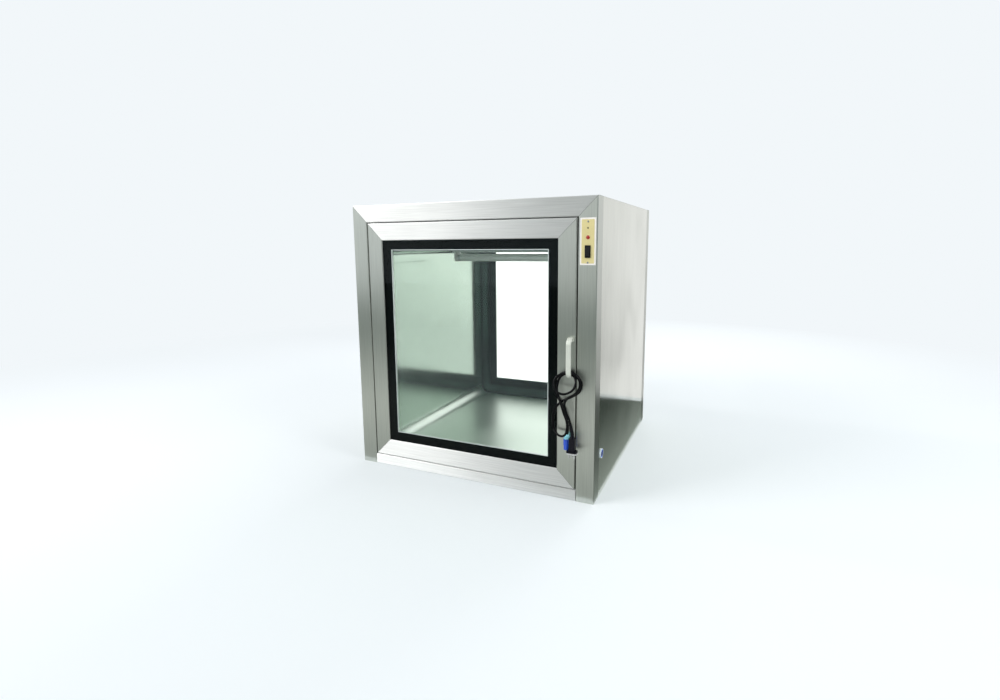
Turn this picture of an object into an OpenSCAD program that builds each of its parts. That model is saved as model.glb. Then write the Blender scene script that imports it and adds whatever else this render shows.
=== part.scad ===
// Pass box with two interlocked glazed doors, a coved chamber and a detachable mains lead.
// X runs across the front, Y from the front door to the rear door, Z up from the base.
// The origin is the centre of the base. The rear frame and door are the front ones turned half round.

/* [Cabinet] */
// Width of the cabinet
body_w = 750; // [620:1:900]
// Depth over both frame faces
body_d = 755; // [600:1:920]
// Height of the cabinet
body_h = 800; // [660:1:960]
// Thickness of the steel sheet
sheet = 1.5; // [1.2:0.1:1.8]
// Outside radius of the visible folds
bend_r = 3; // [2.5:0.1:3.5]
// Face width of the stiles and the top rail
frame_face = 50; // [46:1:62]
// Face height of the bottom rail
sill_face = 30; // [26:1:40]
// Depth of the frame's return along the sides and top
frame_return = 48; // [40:1:50]
// Width of the inner lips that the panels seat on
frame_lip = 12; // [10:1:14]
// Depth from the frame's face to the plate that the door shuts on
landing_depth = 51; // [48:0.5:60]
// Width of the panels' inward lips
panel_lip = 15; // [13:1:20]

/* [Chamber] */
// Space between each side of the cabinet and the chamber
wall_space = 75; // [70:1:90]
// Height of the chamber's floor above the base
floor_space = 50; // [46:1:60]
// Space above the chamber for the electrical parts
top_space = 135; // [130:1:180]
// Radius of the chamber's coved corners
cove_r = 35; // [20:1:50]

/* [Doors] */
// Gap between door and frame
door_gap = 3; // [2.8:0.1:5]
// Thickness of the door
door_t = 42; // [38:0.5:42]
// Face width of the door's mitred frame
door_face = 50; // [44:1:60]
// Width of the black border printed on the glass
border_w = 27; // [20:1:40]
// Thickness of the printed border
print_t = 0.3; // [0.2:0.05:0.5]
// How far the outer pane sits behind the door's face
glass_setback = 4; // [3.6:0.1:6]
// Thickness of each pane
pane_t = 5; // [4:0.5:6]
// Gap between the two panes
pane_gap = 6; // [5:0.5:8]
// How far the panes reach behind the door's frame
pane_bite = 10; // [6:1:14]
// Width of the spacer bar between the panes
spacer_w = 8; // [6:0.5:10]
// How far the spacer shows inside the printed border
spacer_show = 2; // [1:0.5:4]
// Width of the door gasket
gasket_w = 12; // [10:0.5:14]
// Height of the door gasket
gasket_h = 8; // [6.5:0.1:8]
// Distance from the chamber's opening to the gasket's middle, at the sides and the floor
gasket_out = 11; // [9:0.5:13]
// Distance from the door's top edge to the gasket's middle
gasket_drop = 38; // [34:1:42]

/* [Hinges] */
// Radius of the hinge pins
pin_r = 3; // [2.5:0.1:3.5]
// Radial clearance of a pin in its bush
pin_clear = 0.05; // [0.02:0.01:0.1]
// Distance of the pins from the door's edge
pin_in = 12; // [11:0.5:16]
// Distance of the pins from the door's face
pin_back = 8; // [7.5:0.5:10]
// Length of a pin inside the door
pin_len = 12; // [8:0.5:14]

/* [Handle] */
// Distance of the handle's middle from the door's free edge
handle_in = 11; // [9:0.5:30]
// Height of the handle's middle above the base
handle_z = 394; // [300:1:450]
// Height of the handle over its legs
handle_h = 105; // [90:1:140]
// Distance from the door to the handle's outer face
handle_out = 31; // [29:0.5:45]
// Width of the handle's flat bar
handle_w = 13; // [10:0.5:20]
// Thickness of the handle's flat bar
handle_t = 5; // [4:0.5:6]

/* [Lock] */
// Width of the magnet's face
magnet_w = 90; // [70:1:110]
// Height of the magnet's face
magnet_h = 24; // [20:1:26]
// Depth of the magnet behind the landing plate
magnet_d = 20; // [16:1:26]
// Distance of the magnet's middle from the cabinet's middle
magnet_x = 220; // [150:1:230]
// Thickness of the armature plate on the door
armature_t = 8; // [6:0.5:8]

/* [Control plate] */
// Width of the plate's white border
plate_w = 40; // [38:1:42]
// Height of the plate's white border
plate_h = 116; // [112:1:140]
// Distance of the plate's top below the cabinet's top
plate_drop = 54; // [20:1:80]
// Thickness of the white border
plate_t = 1.2; // [1:0.1:2]
// Width of the border that shows round the panel
plate_rim = 4; // [3:0.5:5]
// Thickness of the cream panel
panel_t = 0.8; // [0.6:0.1:1.5]
// Width of the rocker's bezel
bezel_w = 14.5; // [14:0.5:18]
// Height of the rocker's bezel
bezel_h = 31; // [29:0.5:34]
// Swing of the rocker between on and off
rocker_swing = 20; // [12:1:20]
// Radius of the red indicator's lens
lens_r = 5; // [4:0.5:6]

/* [Mains inlet] */
// Height of the inlet above the base
inlet_z = 116; // [90:1:200]
// Distance of the inlet behind the cabinet's front
inlet_back = 72.5; // [66:0.5:120]
// Radius of the inlet's flange
inlet_r = 13; // [12:0.5:16]
// Radius of the inlet's socket
socket_r = 8; // [7:0.5:9]
// Depth of the inlet's socket
socket_d = 12; // [10:0.5:14]

/* [Lamp] */
// Length of the lamp over its caps
lamp_len = 438; // [280:1:440]
// Radius of the lamp's glass tube
lamp_r = 13; // [8:0.5:13]
// Distance of the lamp's middle below the ceiling
lamp_drop = 28; // [25:0.5:40]

/* [Base] */
// Distance of the threaded inserts from the cabinet's sides
insert_in = 75; // [60:1:90]
// Distance of the threaded inserts from the cabinet's front and rear
insert_back = 117.5; // [110:0.5:140]
// Bore radius of the M8 inserts
insert_r = 4; // [3:0.5:5]

/* [Mains lead] */
// Diameter of the lead
lead_d = 6; // [5:0.5:6]
// Radius of the blue connector
connector_r = 8.5; // [8:0.5:9]
// Length of the blue connector
connector_len = 43; // [36:1:46]
// Width of the plug's body
plug_w = 17; // [15:0.5:20]

/* [Hidden] */
$fn = 64;
eps = 1;                                    // overrun of a cutting tool
half_w = body_w / 2;
half_d = body_d / 2;
front_y = -half_d;                          // plane of the front face
landing_y = front_y + landing_depth;        // plane that the gasket faces
panel_d = body_d - 2 * frame_return;        // length of the panels between the frames
reveal_x = half_w - frame_face;             // half the width between the reveals
reveal_top = body_h - frame_face;
seam_r = 0.8;                               // outer radius of the folds at the seams

chamber_w = body_w - 2 * wall_space;
chamber_h = body_h - floor_space - top_space;
chamber_z = floor_space + chamber_h / 2;
ceiling_z = floor_space + chamber_h;
roof_z = ceiling_z + sheet;                 // upper side of the chamber's ceiling

door_x = reveal_x - door_gap;               // half the door's width
door_z0 = sill_face + door_gap;
door_z1 = reveal_top - door_gap;
door_back = front_y + door_t;
win_x = door_x - door_face;                 // half the width inside the door's frame
win_z0 = door_z0 + door_face;
win_z1 = door_z1 - door_face;
inner_print = glass_setback + pane_t + print_t + pane_gap;
inner_pane = inner_print + print_t;
glass_back = inner_pane + pane_t;

pin_x = -door_x + pin_in;
pin_y = front_y + pin_back;
bush_r = pin_r + 2;
washer_play = 0.1;                          // play between the lower washer and the door

gasket_x = chamber_w / 2 + gasket_out;
gasket_z0 = max(floor_space - gasket_out + 2.5, door_z0 + gasket_w / 2 + 2);
gasket_z1 = door_z1 - gasket_drop;
gasket_r = gasket_w / 2 + 8;                // radius at the middle of the gasket's corners

lock_z = (reveal_top + gasket_z1 + gasket_w / 2 - door_gap) / 2;
handle_x = door_x - handle_in;
handle_bend = 0.52 * handle_out;              // wide enough for the bend to curl back to the door

plate_x = half_w - frame_face / 2;
plate_z1 = body_h - plate_drop;
plate_z = plate_z1 - plate_h / 2;
plate_face = front_y - plate_t - panel_t;
screw_zs = [plate_z1 - 9.5, plate_z1 - plate_h + 6];
lens_z = plate_z1 - 48;
dot_z = plate_z1 - 25;
rocker_z = plate_z1 - 83;
dot_r = 1.6;
rocker_arm = bezel_h / 2 - 2.6;             // radius that the rocker's ends swing on
rocker_half = bezel_w / 2 - 1.95;
trunnion_r = 1.2;
housing_w = bezel_w - 1.5;
housing_h = bezel_h - 3;
rocker_y = plate_face + 1.5;                // the rocker's axis

inlet_y = front_y + inlet_back;
lamp_z = ceiling_z - lamp_drop;
lead_shift = handle_x - 311;                // the lead moves with the handle that it hangs on
lead_x = 303 + lead_shift;
lead_off = 11;
plug_x = 322 + lead_shift;
plug_off = 24.5;
connector_z1 = 190;
plug_z1 = 194;

// ---- Shapes that several pieces share ----

// Places a front piece at the rear
module turned() {
    rotate([0, 0, 180]) children();
}

// Rectangle with round corners, centred
module rounded_rect(w, h, r) {
    square([w - 2 * r, h], center = true);
    square([w, h - 2 * r], center = true);
    for (sx = [-1, 1], sy = [-1, 1]) {
        translate([sx * (w / 2 - r), sy * (h / 2 - r)]) circle(r = r);
    }
}

// Quarter ring of a folded sheet, in the quadrant given by the two signs
module fold(cx, cy, sx, sy) {
    translate([cx, cy]) intersection() {
        difference() {
            circle(r = bend_r);
            circle(r = bend_r - sheet);
        }
        translate([sx < 0 ? -bend_r : 0, sy < 0 ? -bend_r : 0]) square(bend_r);
    }
}

// Extrudes an XZ outline along Y, from y0 to y1
module along_y(y0, y1) {
    translate([0, y1, 0]) rotate([90, 0, 0]) linear_extrude(y1 - y0) children();
}

// Rectangular ring in the XZ plane, inner half width and heights first, w wide
module xz_ring(x, z0, z1, w, y0, y1) {
    along_y(y0, y1) difference() {
        translate([-x - w, z0 - w]) square([2 * (x + w), z1 - z0 + 2 * w]);
        translate([-x, z0]) square([2 * x, z1 - z0]);
    }
}

// ---- Cabinet frame ----

// Folded section of a frame member: X from the cabinet's outside inwards, Y from the face back
module frame_section(face) {
    translate([bend_r, 0]) square([face - 2 * bend_r, sheet]);
    fold(bend_r, bend_r, -1, -1);
    difference() {
        union() {
            translate([0, bend_r]) square([sheet, frame_return - bend_r]);
            translate([0, frame_return - sheet]) square([frame_lip, sheet]);
        }
        translate([0, frame_return - seam_r]) difference() {
            translate([-eps, 0]) square([seam_r + eps, seam_r + eps]);
            translate([seam_r, 0]) circle(r = seam_r);
        }
    }
    fold(face - bend_r, bend_r, 1, -1);
    translate([face - sheet, bend_r]) square([sheet, landing_depth - bend_r]);
}

// Left stile of the front, mitred at the top
module frame_stile() {
    k = frame_face + eps;
    intersection() {
        translate([-half_w, front_y, 0]) linear_extrude(body_h) frame_section(frame_face);
        along_y(front_y - eps, landing_y + eps) polygon([
            [-half_w - eps, -eps], [-half_w - eps, body_h + eps],
            [-half_w + k, body_h - k], [-half_w + k, -eps],
        ]);
    }
}

module frame_top() {
    k = frame_face + eps;
    color("gainsboro") difference() {
        intersection() {
            translate([-half_w, front_y, body_h]) rotate([0, 90, 0])
                linear_extrude(body_w) frame_section(frame_face);
            along_y(front_y - eps, landing_y + eps) polygon([
                [-half_w - eps, body_h + eps], [half_w + eps, body_h + eps],
                [half_w - k, body_h - k], [-half_w + k, body_h - k],
            ]);
        }
        translate([pin_x, pin_y, reveal_top - eps]) cylinder(r = pin_r + 0.3, h = sheet + 2 * eps);
    }
}

module frame_bottom() {
    color("gainsboro") difference() {
        translate([reveal_x, front_y, 0]) rotate([0, -90, 0])
            linear_extrude(2 * reveal_x) frame_section(sill_face);
        translate([pin_x, pin_y, sill_face - sheet - eps]) cylinder(r = pin_r + 0.3, h = sheet + 2 * eps);
    }
}

module frame_left() {
    color("silver") frame_stile();
}

module plain_frame_right() {
    color("silver") mirror([1, 0, 0]) frame_stile();
}

// The front right stile is cut for the switch, the indicators and the plate's screws
module front_frame_right() {
    color("silver") difference() {
        mirror([1, 0, 0]) frame_stile();
        along_y(front_y - eps, front_y + sheet + eps) plate_cuts(0.2);
    }
}

// Plate that the gasket shuts on, round the chamber's mouth, with the magnet's window
module landing_plate() {
    color("silver") along_y(landing_y, landing_y + sheet) difference() {
        translate([-reveal_x - sheet, sill_face - sheet])
            square([2 * (reveal_x + sheet), reveal_top - sill_face + 2 * sheet]);
        translate([0, chamber_z]) rounded_rect(chamber_w, chamber_h, cove_r);
        translate([magnet_x, lock_z]) square([magnet_w + 0.6, magnet_h + 0.6], center = true);
    }
}

module chamber_liner() {
    color("lightgray") along_y(landing_y + sheet, -landing_y - sheet) translate([0, chamber_z])
        difference() {
            rounded_rect(chamber_w + 2 * sheet, chamber_h + 2 * sheet, cove_r + sheet);
            rounded_rect(chamber_w, chamber_h, cove_r);
        }
}

// ---- Panels ----

// Left side panel: a plate with an inward lip on all four edges
module side_pan() {
    height = body_h - sheet;
    difference() {
        union() {
            translate([-half_w, -panel_d / 2, 0]) cube([sheet, panel_d, height]);
            for (s = [-1, 1]) {
                translate([-half_w, s > 0 ? panel_d / 2 - sheet : -panel_d / 2, 0])
                    cube([panel_lip, sheet, height]);
            }
            for (z = [0, height - sheet]) {
                translate([-half_w, -panel_d / 2, z]) cube([panel_lip, panel_d, sheet]);
            }
        }
        for (y = cover_screw_ys) {
            translate([-cover_screw_x, y, height - sheet - eps]) cylinder(r = 2.1, h = sheet + 2 * eps);
        }
        for (s = [-1, 1]) {
            translate([-half_w + seam_r, s * (panel_d / 2 - seam_r), -eps]) rotate([0, 0, s > 0 ? 90 : 180])
                seam_cutter(height + 2 * eps);
        }
    }
}

// Rounds the outer corner between +X and +Y of its own frame
module seam_cutter(h) {
    linear_extrude(h) difference() {
        square(seam_r + eps);
        circle(r = seam_r);
    }
}

module side_panel_left() {
    color("lightgray") side_pan();
}

module side_panel_right() {
    color("lightgray") difference() {
        mirror([1, 0, 0]) side_pan();
        translate([half_w - sheet - eps, inlet_y, inlet_z]) rotate([0, 90, 0])
            cylinder(r = inlet_r - 2.7, h = sheet + 2 * eps);
    }
}

cover_screw_x = half_w - 9;
cover_screw_n = 5;
cover_screw_ys = [for (i = [0 : cover_screw_n - 1])
    (panel_d / 2 - 45) * (2 * i / (cover_screw_n - 1) - 1)];

// Countersunk head and its seat, top face at Z 0, grown by a clearance
module countersunk(clear) {
    translate([0, 0, -sheet]) cylinder(r1 = 2 + clear, r2 = 2 + sheet + clear, h = sheet);
}

module top_cover() {
    color("gainsboro") difference() {
        translate([-half_w, -panel_d / 2, body_h - sheet]) cube([body_w, panel_d, sheet]);
        for (s = [-1, 1], y = cover_screw_ys) {
            translate([s * cover_screw_x, y, body_h]) countersunk(0.1);
        }
    }
}

module cover_screws() {
    color("gray") for (s = [-1, 1], y = cover_screw_ys) {
        translate([s * cover_screw_x, y, body_h]) difference() {
            union() {
                countersunk(0);
                translate([0, 0, -10]) cylinder(r = 2, h = 10 - sheet);
            }
            translate([0, 0, -1.2]) cylinder(r = 1.2, h = 1.2 + eps, $fn = 6);
        }
    }
}

// Base plate between the side panels' lips, its ends folded up against the frames' lips
module base_panel() {
    x = half_w - panel_lip;
    y = min(panel_d / 2, -landing_y);       // the plate's corners stop at the stiles' inner folds
    color("silver") difference() {
        union() {
            translate([-x, -y, 0]) cube([2 * x, 2 * y, sheet]);
            translate([-reveal_x, -panel_d / 2, 0]) cube([2 * reveal_x, panel_d, sheet]);
            for (s = [-1, 1]) {
                translate([-reveal_x, s > 0 ? panel_d / 2 - sheet : -panel_d / 2, 0])
                    cube([2 * reveal_x, sheet, frame_lip]);
            }
        }
        at_inserts() translate([0, 0, -eps]) cylinder(r = insert_r + 1.5, h = sheet + 2 * eps);
    }
}

module at_inserts() {
    for (sx = [-1, 1], sy = [-1, 1]) {
        translate([sx * (half_w - insert_in), sy * (half_d - insert_back), 0]) children();
    }
}

// Threaded inserts: a sleeve in the panel with a swaged collar above it
module base_inserts() {
    color("darkgray") at_inserts() difference() {
        union() {
            cylinder(r = insert_r + 1.4, h = 18);
            translate([0, 0, sheet]) cylinder(r = insert_r + 4, h = 2.5);
        }
        translate([0, 0, -eps]) cylinder(r = insert_r, h = 18 + 2 * eps);
    }
}

// Top-hat sections between the base and the chamber's floor
bearer_top = 40;
bearer_foot = 15;
module floor_bearers() {
    h = floor_space - 2 * sheet;
    color("silver") for (y = [-1, 0, 1] * (panel_d / 3)) {
        translate([-chamber_w / 2 + 10, y, sheet]) rotate([90, 0, 90])
            linear_extrude(chamber_w - 20) union() {
                translate([-bearer_top / 2, h - sheet]) square([bearer_top, sheet]);
                for (s = [-1, 1]) {
                    translate([s > 0 ? bearer_top / 2 - sheet : -bearer_top / 2, 0]) square([sheet, h]);
                    translate([s > 0 ? bearer_top / 2 - sheet : -bearer_top / 2 - bearer_foot + sheet, 0])
                        square([bearer_foot, sheet]);
                }
            }
    }
}

// ---- Electrical parts above the chamber ----

tray_w = 360;
tray_d = 200;
tray_h = 15;
module equipment_tray() {
    color("lightgray") translate([-tray_w / 2 - 20, -tray_d / 2, roof_z]) rotate([90, 0, 90])
        linear_extrude(tray_w) union() {
            translate([0, tray_h - sheet]) square([tray_d, sheet]);
            for (y = [0, tray_d - sheet]) {
                translate([y, 0]) square([sheet, tray_h]);
            }
            translate([-12, 0]) square([12 + sheet, sheet]);
            translate([tray_d - sheet, 0]) square([12 + sheet, sheet]);
        }
}

supply_size = [160, 98, 40];
module power_supply() {
    z = roof_z + tray_h;
    color("darkgray") translate([-170, -49, z]) difference() {
        cube(supply_size);
        translate([supply_size[0] - 22, 8, supply_size[2] - 18]) cube([22 + eps, supply_size[1] - 16, 18 + eps]);
        for (i = [0 : 9]) {
            translate([18 + 12 * i, 14, supply_size[2] - 3]) cube([5, 70, 3 + eps]);
        }
    }
}

controller_size = [110, 80, 34];
module interlock_controller() {
    z = roof_z + tray_h;
    color("ivory") translate([20, -40, z]) difference() {
        union() {
            cube(controller_size);
            translate([12, 12, controller_size[2]]) cube([86, 56, 6]);
        }
        for (y = [-eps, controller_size[1] - 8], i = [0 : 7]) {
            translate([10 + 12 * i, y, controller_size[2] - 12]) cube([7, 8 + eps, 12 + eps]);
        }
    }
}

// ---- Lamp ----

holder_t = 12;
channel_w = 40;
channel_h = 10;
cap_len = 10;
// Wiring channel under the ceiling, open side up
module lamp_channel() {
    len = lamp_len + 2 * holder_t + 8;
    color("gainsboro") translate([-len / 2, 0, ceiling_z - channel_h]) rotate([90, 0, 90])
        linear_extrude(len) difference() {
            translate([-channel_w / 2, 0]) square([channel_w, channel_h]);
            translate([-channel_w / 2 + 1, 1]) square([channel_w - 2, channel_h]);
        }
}

// Holders that hang from the channel and take the lamp's pins
module lamp_holders() {
    drop = lamp_drop - channel_h;
    color("white") for (s = [-1, 1]) {
        translate([s > 0 ? lamp_len / 2 : -lamp_len / 2 - holder_t, 0, lamp_z]) rotate([90, 0, 90])
            difference() {
                linear_extrude(holder_t) union() {
                    circle(r = 14);
                    translate([-14, 0]) square([28, drop]);
                }
                for (y = [-1, 1] * 6.35) {
                    translate([y, 0, s > 0 ? -eps : holder_t - 8]) cylinder(r = 1.35, h = 8 + eps);
                }
            }
    }
}

module lamp_tube() {
    len = lamp_len - 2 * cap_len;
    color("whitesmoke") translate([-len / 2, 0, lamp_z]) rotate([0, 90, 0]) difference() {
        cylinder(r = lamp_r, h = len);
        translate([0, 0, -eps]) cylinder(r = lamp_r - 0.8, h = len + 2 * eps);
    }
}

// End caps with two contact pins each
module lamp_caps() {
    color("silver") for (s = [0, 1]) {
        rotate([0, 0, 180 * s]) translate([lamp_len / 2 - cap_len, 0, lamp_z]) rotate([90, 0, 90]) {
            cylinder(r = lamp_r, h = cap_len);
            for (y = [-1, 1] * 6.35) {
                translate([y, 0, cap_len]) cylinder(r = 1.2, h = 7);
            }
        }
    }
}

// ---- Lock ----

// Holding magnets, their faces flush with the landing plates and their ears behind them
module lock_magnet() {
    color("slategray") translate([magnet_x, 0, lock_z]) {
        translate([-magnet_w / 2, landing_y, -magnet_h / 2]) cube([magnet_w, magnet_d, magnet_h]);
        translate([-magnet_w / 2 - 10, landing_y + sheet, -magnet_h / 2])
            cube([magnet_w + 20, 3, magnet_h]);
    }
}

module lock_magnets() {
    lock_magnet();
    turned() lock_magnet();
}

module armature() {
    color("slategray") translate([magnet_x, 0, lock_z]) difference() {
        translate([-magnet_w / 2 + 5, door_back, -magnet_h / 2]) cube([magnet_w - 10, armature_t, magnet_h]);
        translate([0, door_back + armature_t - 3, 0]) rotate([-90, 0, 0]) cylinder(r = 5, h = 3 + eps);
    }
}

// ---- Control plate, indicators and rocker switch ----

// Cut-outs that the plate, its border and the stile behind share
module plate_cuts(clear) {
    translate([plate_x, rocker_z]) square([housing_w + 2 * clear, housing_h + 2 * clear], center = true);
    translate([plate_x, lens_z]) circle(r = lens_r - 1 + clear);
    translate([plate_x, dot_z]) circle(r = dot_r + clear);
    for (z = screw_zs) {
        translate([plate_x, z]) circle(r = 1.5 + clear);
    }
}

module control_plate_border() {
    color("snow") along_y(front_y - plate_t, front_y) difference() {
        translate([plate_x, plate_z]) rounded_rect(plate_w, plate_h, 1.5);
        plate_cuts(0.15);
    }
}

module control_plate() {
    color("khaki") along_y(plate_face, front_y - plate_t) difference() {
        translate([plate_x, plate_z]) rounded_rect(plate_w - 2 * plate_rim, plate_h - 2 * plate_rim, 1);
        plate_cuts(0.15);
    }
}

// Dome of radius r and height h that stands out of the front, its base at Y 0
module dome(r, h) {
    big = (r * r + h * h) / (2 * h);
    intersection() {
        translate([0, big - h, 0]) sphere(r = big, $fn = 96);
        rotate([90, 0, 0]) cylinder(r = r, h = h + eps);
    }
}

module plate_screws() {
    color("dimgray") for (z = screw_zs) {
        translate([plate_x, plate_face, z]) {
            difference() {
                dome(2.6, 1.3);
                translate([-0.35, -1.4, -3]) cube([0.7, 0.7, 6]);
            }
            rotate([-90, 0, 0]) cylinder(r = 1.5, h = 8);
        }
    }
}

module red_indicator() {
    color("darkred") translate([plate_x, plate_face, lens_z]) {
        dome(lens_r, 3);
        rotate([-90, 0, 0]) cylinder(r = lens_r - 1, h = 16);
    }
}

module small_indicator() {
    color("darkolivegreen") translate([plate_x, plate_face, dot_z]) {
        dome(dot_r + 0.6, 0.8);
        rotate([-90, 0, 0]) cylinder(r = dot_r, h = 8);
    }
}

// Bezel and hollow body of the switch, bored for the rocker's trunnions
bezel_t = 2;
module rocker_housing() {
    color("black") translate([plate_x, plate_face, rocker_z]) difference() {
        union() {
            along_y(-bezel_t, 0) rounded_rect(bezel_w, bezel_h, 1.5);
            along_y(0, 20) square([housing_w, housing_h], center = true);
        }
        along_y(-bezel_t - eps, 13)
            square([2 * rocker_half + 0.4, 2 * rocker_arm + 0.3], center = true);
        translate([-housing_w / 2 - eps, rocker_y - plate_face, 0]) rotate([0, 90, 0])
            cylinder(r = trunnion_r + pin_clear, h = housing_w + 2 * eps);
    }
}

// Rocker with a shallow ridge across its middle, at rest with its upper end pressed in
module rocker_button() {
    color("black") translate([plate_x, rocker_y, rocker_z]) rotate([-rocker_swing / 2, 0, 0]) {
        rotate([90, 0, 90]) translate([0, 0, -rocker_half]) linear_extrude(2 * rocker_half)
            intersection() {
                circle(r = rocker_arm);
                polygon([[-4.6, -rocker_arm], [-5.6, 0], [-4.6, rocker_arm],
                         [1.5, rocker_arm], [5.5, 0], [1.5, -rocker_arm]]);
            }
        translate([-rocker_half - 0.9, 0, 0]) rotate([0, 90, 0])
            cylinder(r = trunnion_r, h = 2 * rocker_half + 1.8);
    }
}

// ---- Mains inlet ----

// Round inlet with a flange outside the panel, a keyed socket and three contacts
module power_inlet() {
    color("royalblue") translate([half_w, inlet_y, inlet_z]) rotate([0, 90, 0]) {
        difference() {
            union() {
                cylinder(r = inlet_r, h = 3);
                translate([0, 0, -26]) cylinder(r = inlet_r - 3, h = 26);
            }
            translate([0, 0, 3 - socket_d]) cylinder(r = socket_r, h = socket_d + eps);
            for (a = [0, 120, 240]) {
                rotate([0, 0, a]) translate([4.2, 0, -socket_d - 4]) cylinder(r = 1.2, h = 10);
            }
        }
    }
}

// ---- Hinges ----

// Lower pin with its washer, and upper pin, on plates behind the frame's reveals
module hinge_pin_pair() {
    z0 = sill_face;
    z1 = reveal_top;
    plate_front = bend_r + 0.2 - pin_back;
    color("dimgray") translate([pin_x, pin_y, 0]) {
        translate([-13, plate_front, z0 - sheet - 4]) cube([26, 20, 4]);
        translate([0, 0, z0 - sheet - 2]) cylinder(r = pin_r, h = sheet + 2 + door_gap + pin_len);
        translate([0, 0, z0]) cylinder(r = bush_r, h = door_gap - washer_play);
        translate([-12, plate_front, z1 + sheet]) cube([24, 20, 4]);
        translate([0, 0, z1 - door_gap - pin_len]) cylinder(r = pin_r, h = pin_len + door_gap + sheet + 2);
    }
}

module hinge_pins() {
    hinge_pin_pair();
    turned() hinge_pin_pair();
}

// Bush blocks inside the door's rails
bush_len = 15;
module door_bushes() {
    color("tan") for (top = [0, 1]) {
        z = top ? door_z1 - bush_len : door_z0;
        translate([pin_x, pin_y, z]) difference() {
            union() {
                translate([-9, bend_r - pin_back + 0.2, top ? 0 : sheet]) cube([18, 14, bush_len - sheet]);
                cylinder(r = bush_r, h = bush_len);
            }
            translate([0, 0, -eps]) cylinder(r = pin_r + pin_clear, h = bush_len + 2 * eps);
        }
    }
}

// ---- Door ----

// Folded section of the door's frame: X from the door's edge inwards, Y from the face back
module door_section() {
    translate([bend_r, 0]) square([door_face - 2 * bend_r, sheet]);
    fold(bend_r, bend_r, -1, -1);
    translate([0, bend_r]) square([sheet, door_t - bend_r]);
    fold(door_face - bend_r, bend_r, 1, -1);
    translate([door_face - sheet, bend_r]) square([sheet, glass_setback - bend_r]);
}

module door_stiles() {
    k = door_face + eps;
    color("silver") for (side = [0, 1]) mirror([side, 0, 0]) intersection() {
        translate([-door_x, front_y, door_z0]) linear_extrude(door_z1 - door_z0) door_section();
        along_y(front_y - eps, door_back + eps) polygon([
            [-door_x - eps, door_z0 - eps], [-door_x - eps, door_z1 + eps],
            [-door_x + k, door_z1 - k], [-door_x + k, door_z0 + k],
        ]);
    }
}

module door_rails() {
    k = door_face + eps;
    mid = (door_z0 + door_z1) / 2;
    half = (door_z1 - door_z0) / 2;
    color("gainsboro") difference() {
        for (low = [0, 1]) translate([0, 0, mid]) mirror([0, 0, low]) intersection() {
            translate([-door_x, front_y, half]) rotate([0, 90, 0])
                linear_extrude(2 * door_x) door_section();
            along_y(front_y - eps, door_back + eps) polygon([
                [-door_x - eps, half + eps], [door_x + eps, half + eps],
                [door_x - k, half - k], [-door_x + k, half - k],
            ]);
        }
        for (z = [door_z0 - eps, door_z1 - sheet - eps]) {
            translate([pin_x, pin_y, z]) cylinder(r = bush_r + 0.1, h = sheet + 2 * eps);
        }
    }
}

// Back of the door: a plate inside the frame's edges, folded in to the inner pane
module door_back_pan() {
    x = door_x - sheet;
    color("silver") {
        xz_ring(win_x, win_z0, win_z1, door_face - sheet, door_back - sheet, door_back);
        xz_ring(win_x, win_z0, win_z1, sheet, front_y + glass_back, door_back - sheet);
    }
}

module pane(depth) {
    y = front_y + depth;
    color("honeydew", 0.35) translate([-win_x - pane_bite, y, win_z0 - pane_bite])
        cube([2 * (win_x + pane_bite), pane_t, win_z1 - win_z0 + 2 * pane_bite]);
}

// Black borders printed on the facing sides of the two panes
module door_border() {
    x = win_x - border_w;
    w = border_w + pane_bite;
    color("black") for (depth = [glass_setback + pane_t, inner_print]) {
        xz_ring(x, win_z0 + border_w, win_z1 - border_w, w, front_y + depth, front_y + depth + print_t);
    }
}

module door_spacer() {
    inset = border_w - spacer_w + spacer_show;
    y = front_y + glass_setback + pane_t + print_t;
    color("lightgray") xz_ring(win_x - inset - spacer_w, win_z0 + inset + spacer_w,
        win_z1 - inset - spacer_w, spacer_w, y, y + pane_gap);
}

// Section of the gasket: flat base, round crown
module gasket_section() {
    r = gasket_w / 2;
    translate([-r, 0]) square([gasket_w, gasket_h - r]);
    translate([0, gasket_h - r]) intersection() {
        circle(r = r);
        translate([-r, 0]) square([gasket_w, r]);
    }
}

module door_gasket() {
    rc = gasket_r;
    mid = (gasket_z0 + gasket_z1) / 2;
    half_h = (gasket_z1 - gasket_z0) / 2;
    color("dimgray") translate([0, door_back, mid]) mirror([0, 1, 0]) rotate([90, 0, 0]) {
        for (s = [-1, 1]) {
            translate([-(gasket_x - rc), s * half_h, 0]) rotate([90, 0, 90])
                linear_extrude(2 * (gasket_x - rc)) gasket_section();
            translate([s * gasket_x, half_h - rc, 0]) rotate([90, 0, 0])
                linear_extrude(2 * (half_h - rc)) gasket_section();
        }
        for (q = [0 : 3]) {
            sx = q == 0 || q == 3 ? 1 : -1;
            sy = q < 2 ? 1 : -1;
            translate([sx * (gasket_x - rc), sy * (half_h - rc), 0]) rotate([0, 0, 90 * q])
                rotate_extrude(angle = 90) translate([rc, 0]) gasket_section();
        }
    }
}

// ---- Handle ----

// Upper half of the handle, from its middle height up; its bend runs on past the door's face
module half_handle() {
    reach = handle_out - handle_t / 2 - handle_bend;
    turn_z = handle_h / 2 - handle_t / 2 - handle_bend;
    translate([0, -handle_out + handle_t / 2, 0]) linear_extrude(turn_z) handle_section();
    translate([0, -reach, turn_z]) rotate([90, 0, -90]) rotate_extrude(angle = 165)
        translate([handle_bend, 0]) rotate([0, 0, 90]) handle_section();
}

module handle_section() {
    rounded_rect(handle_w, handle_t, handle_t / 2 - 0.6);
}

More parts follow.
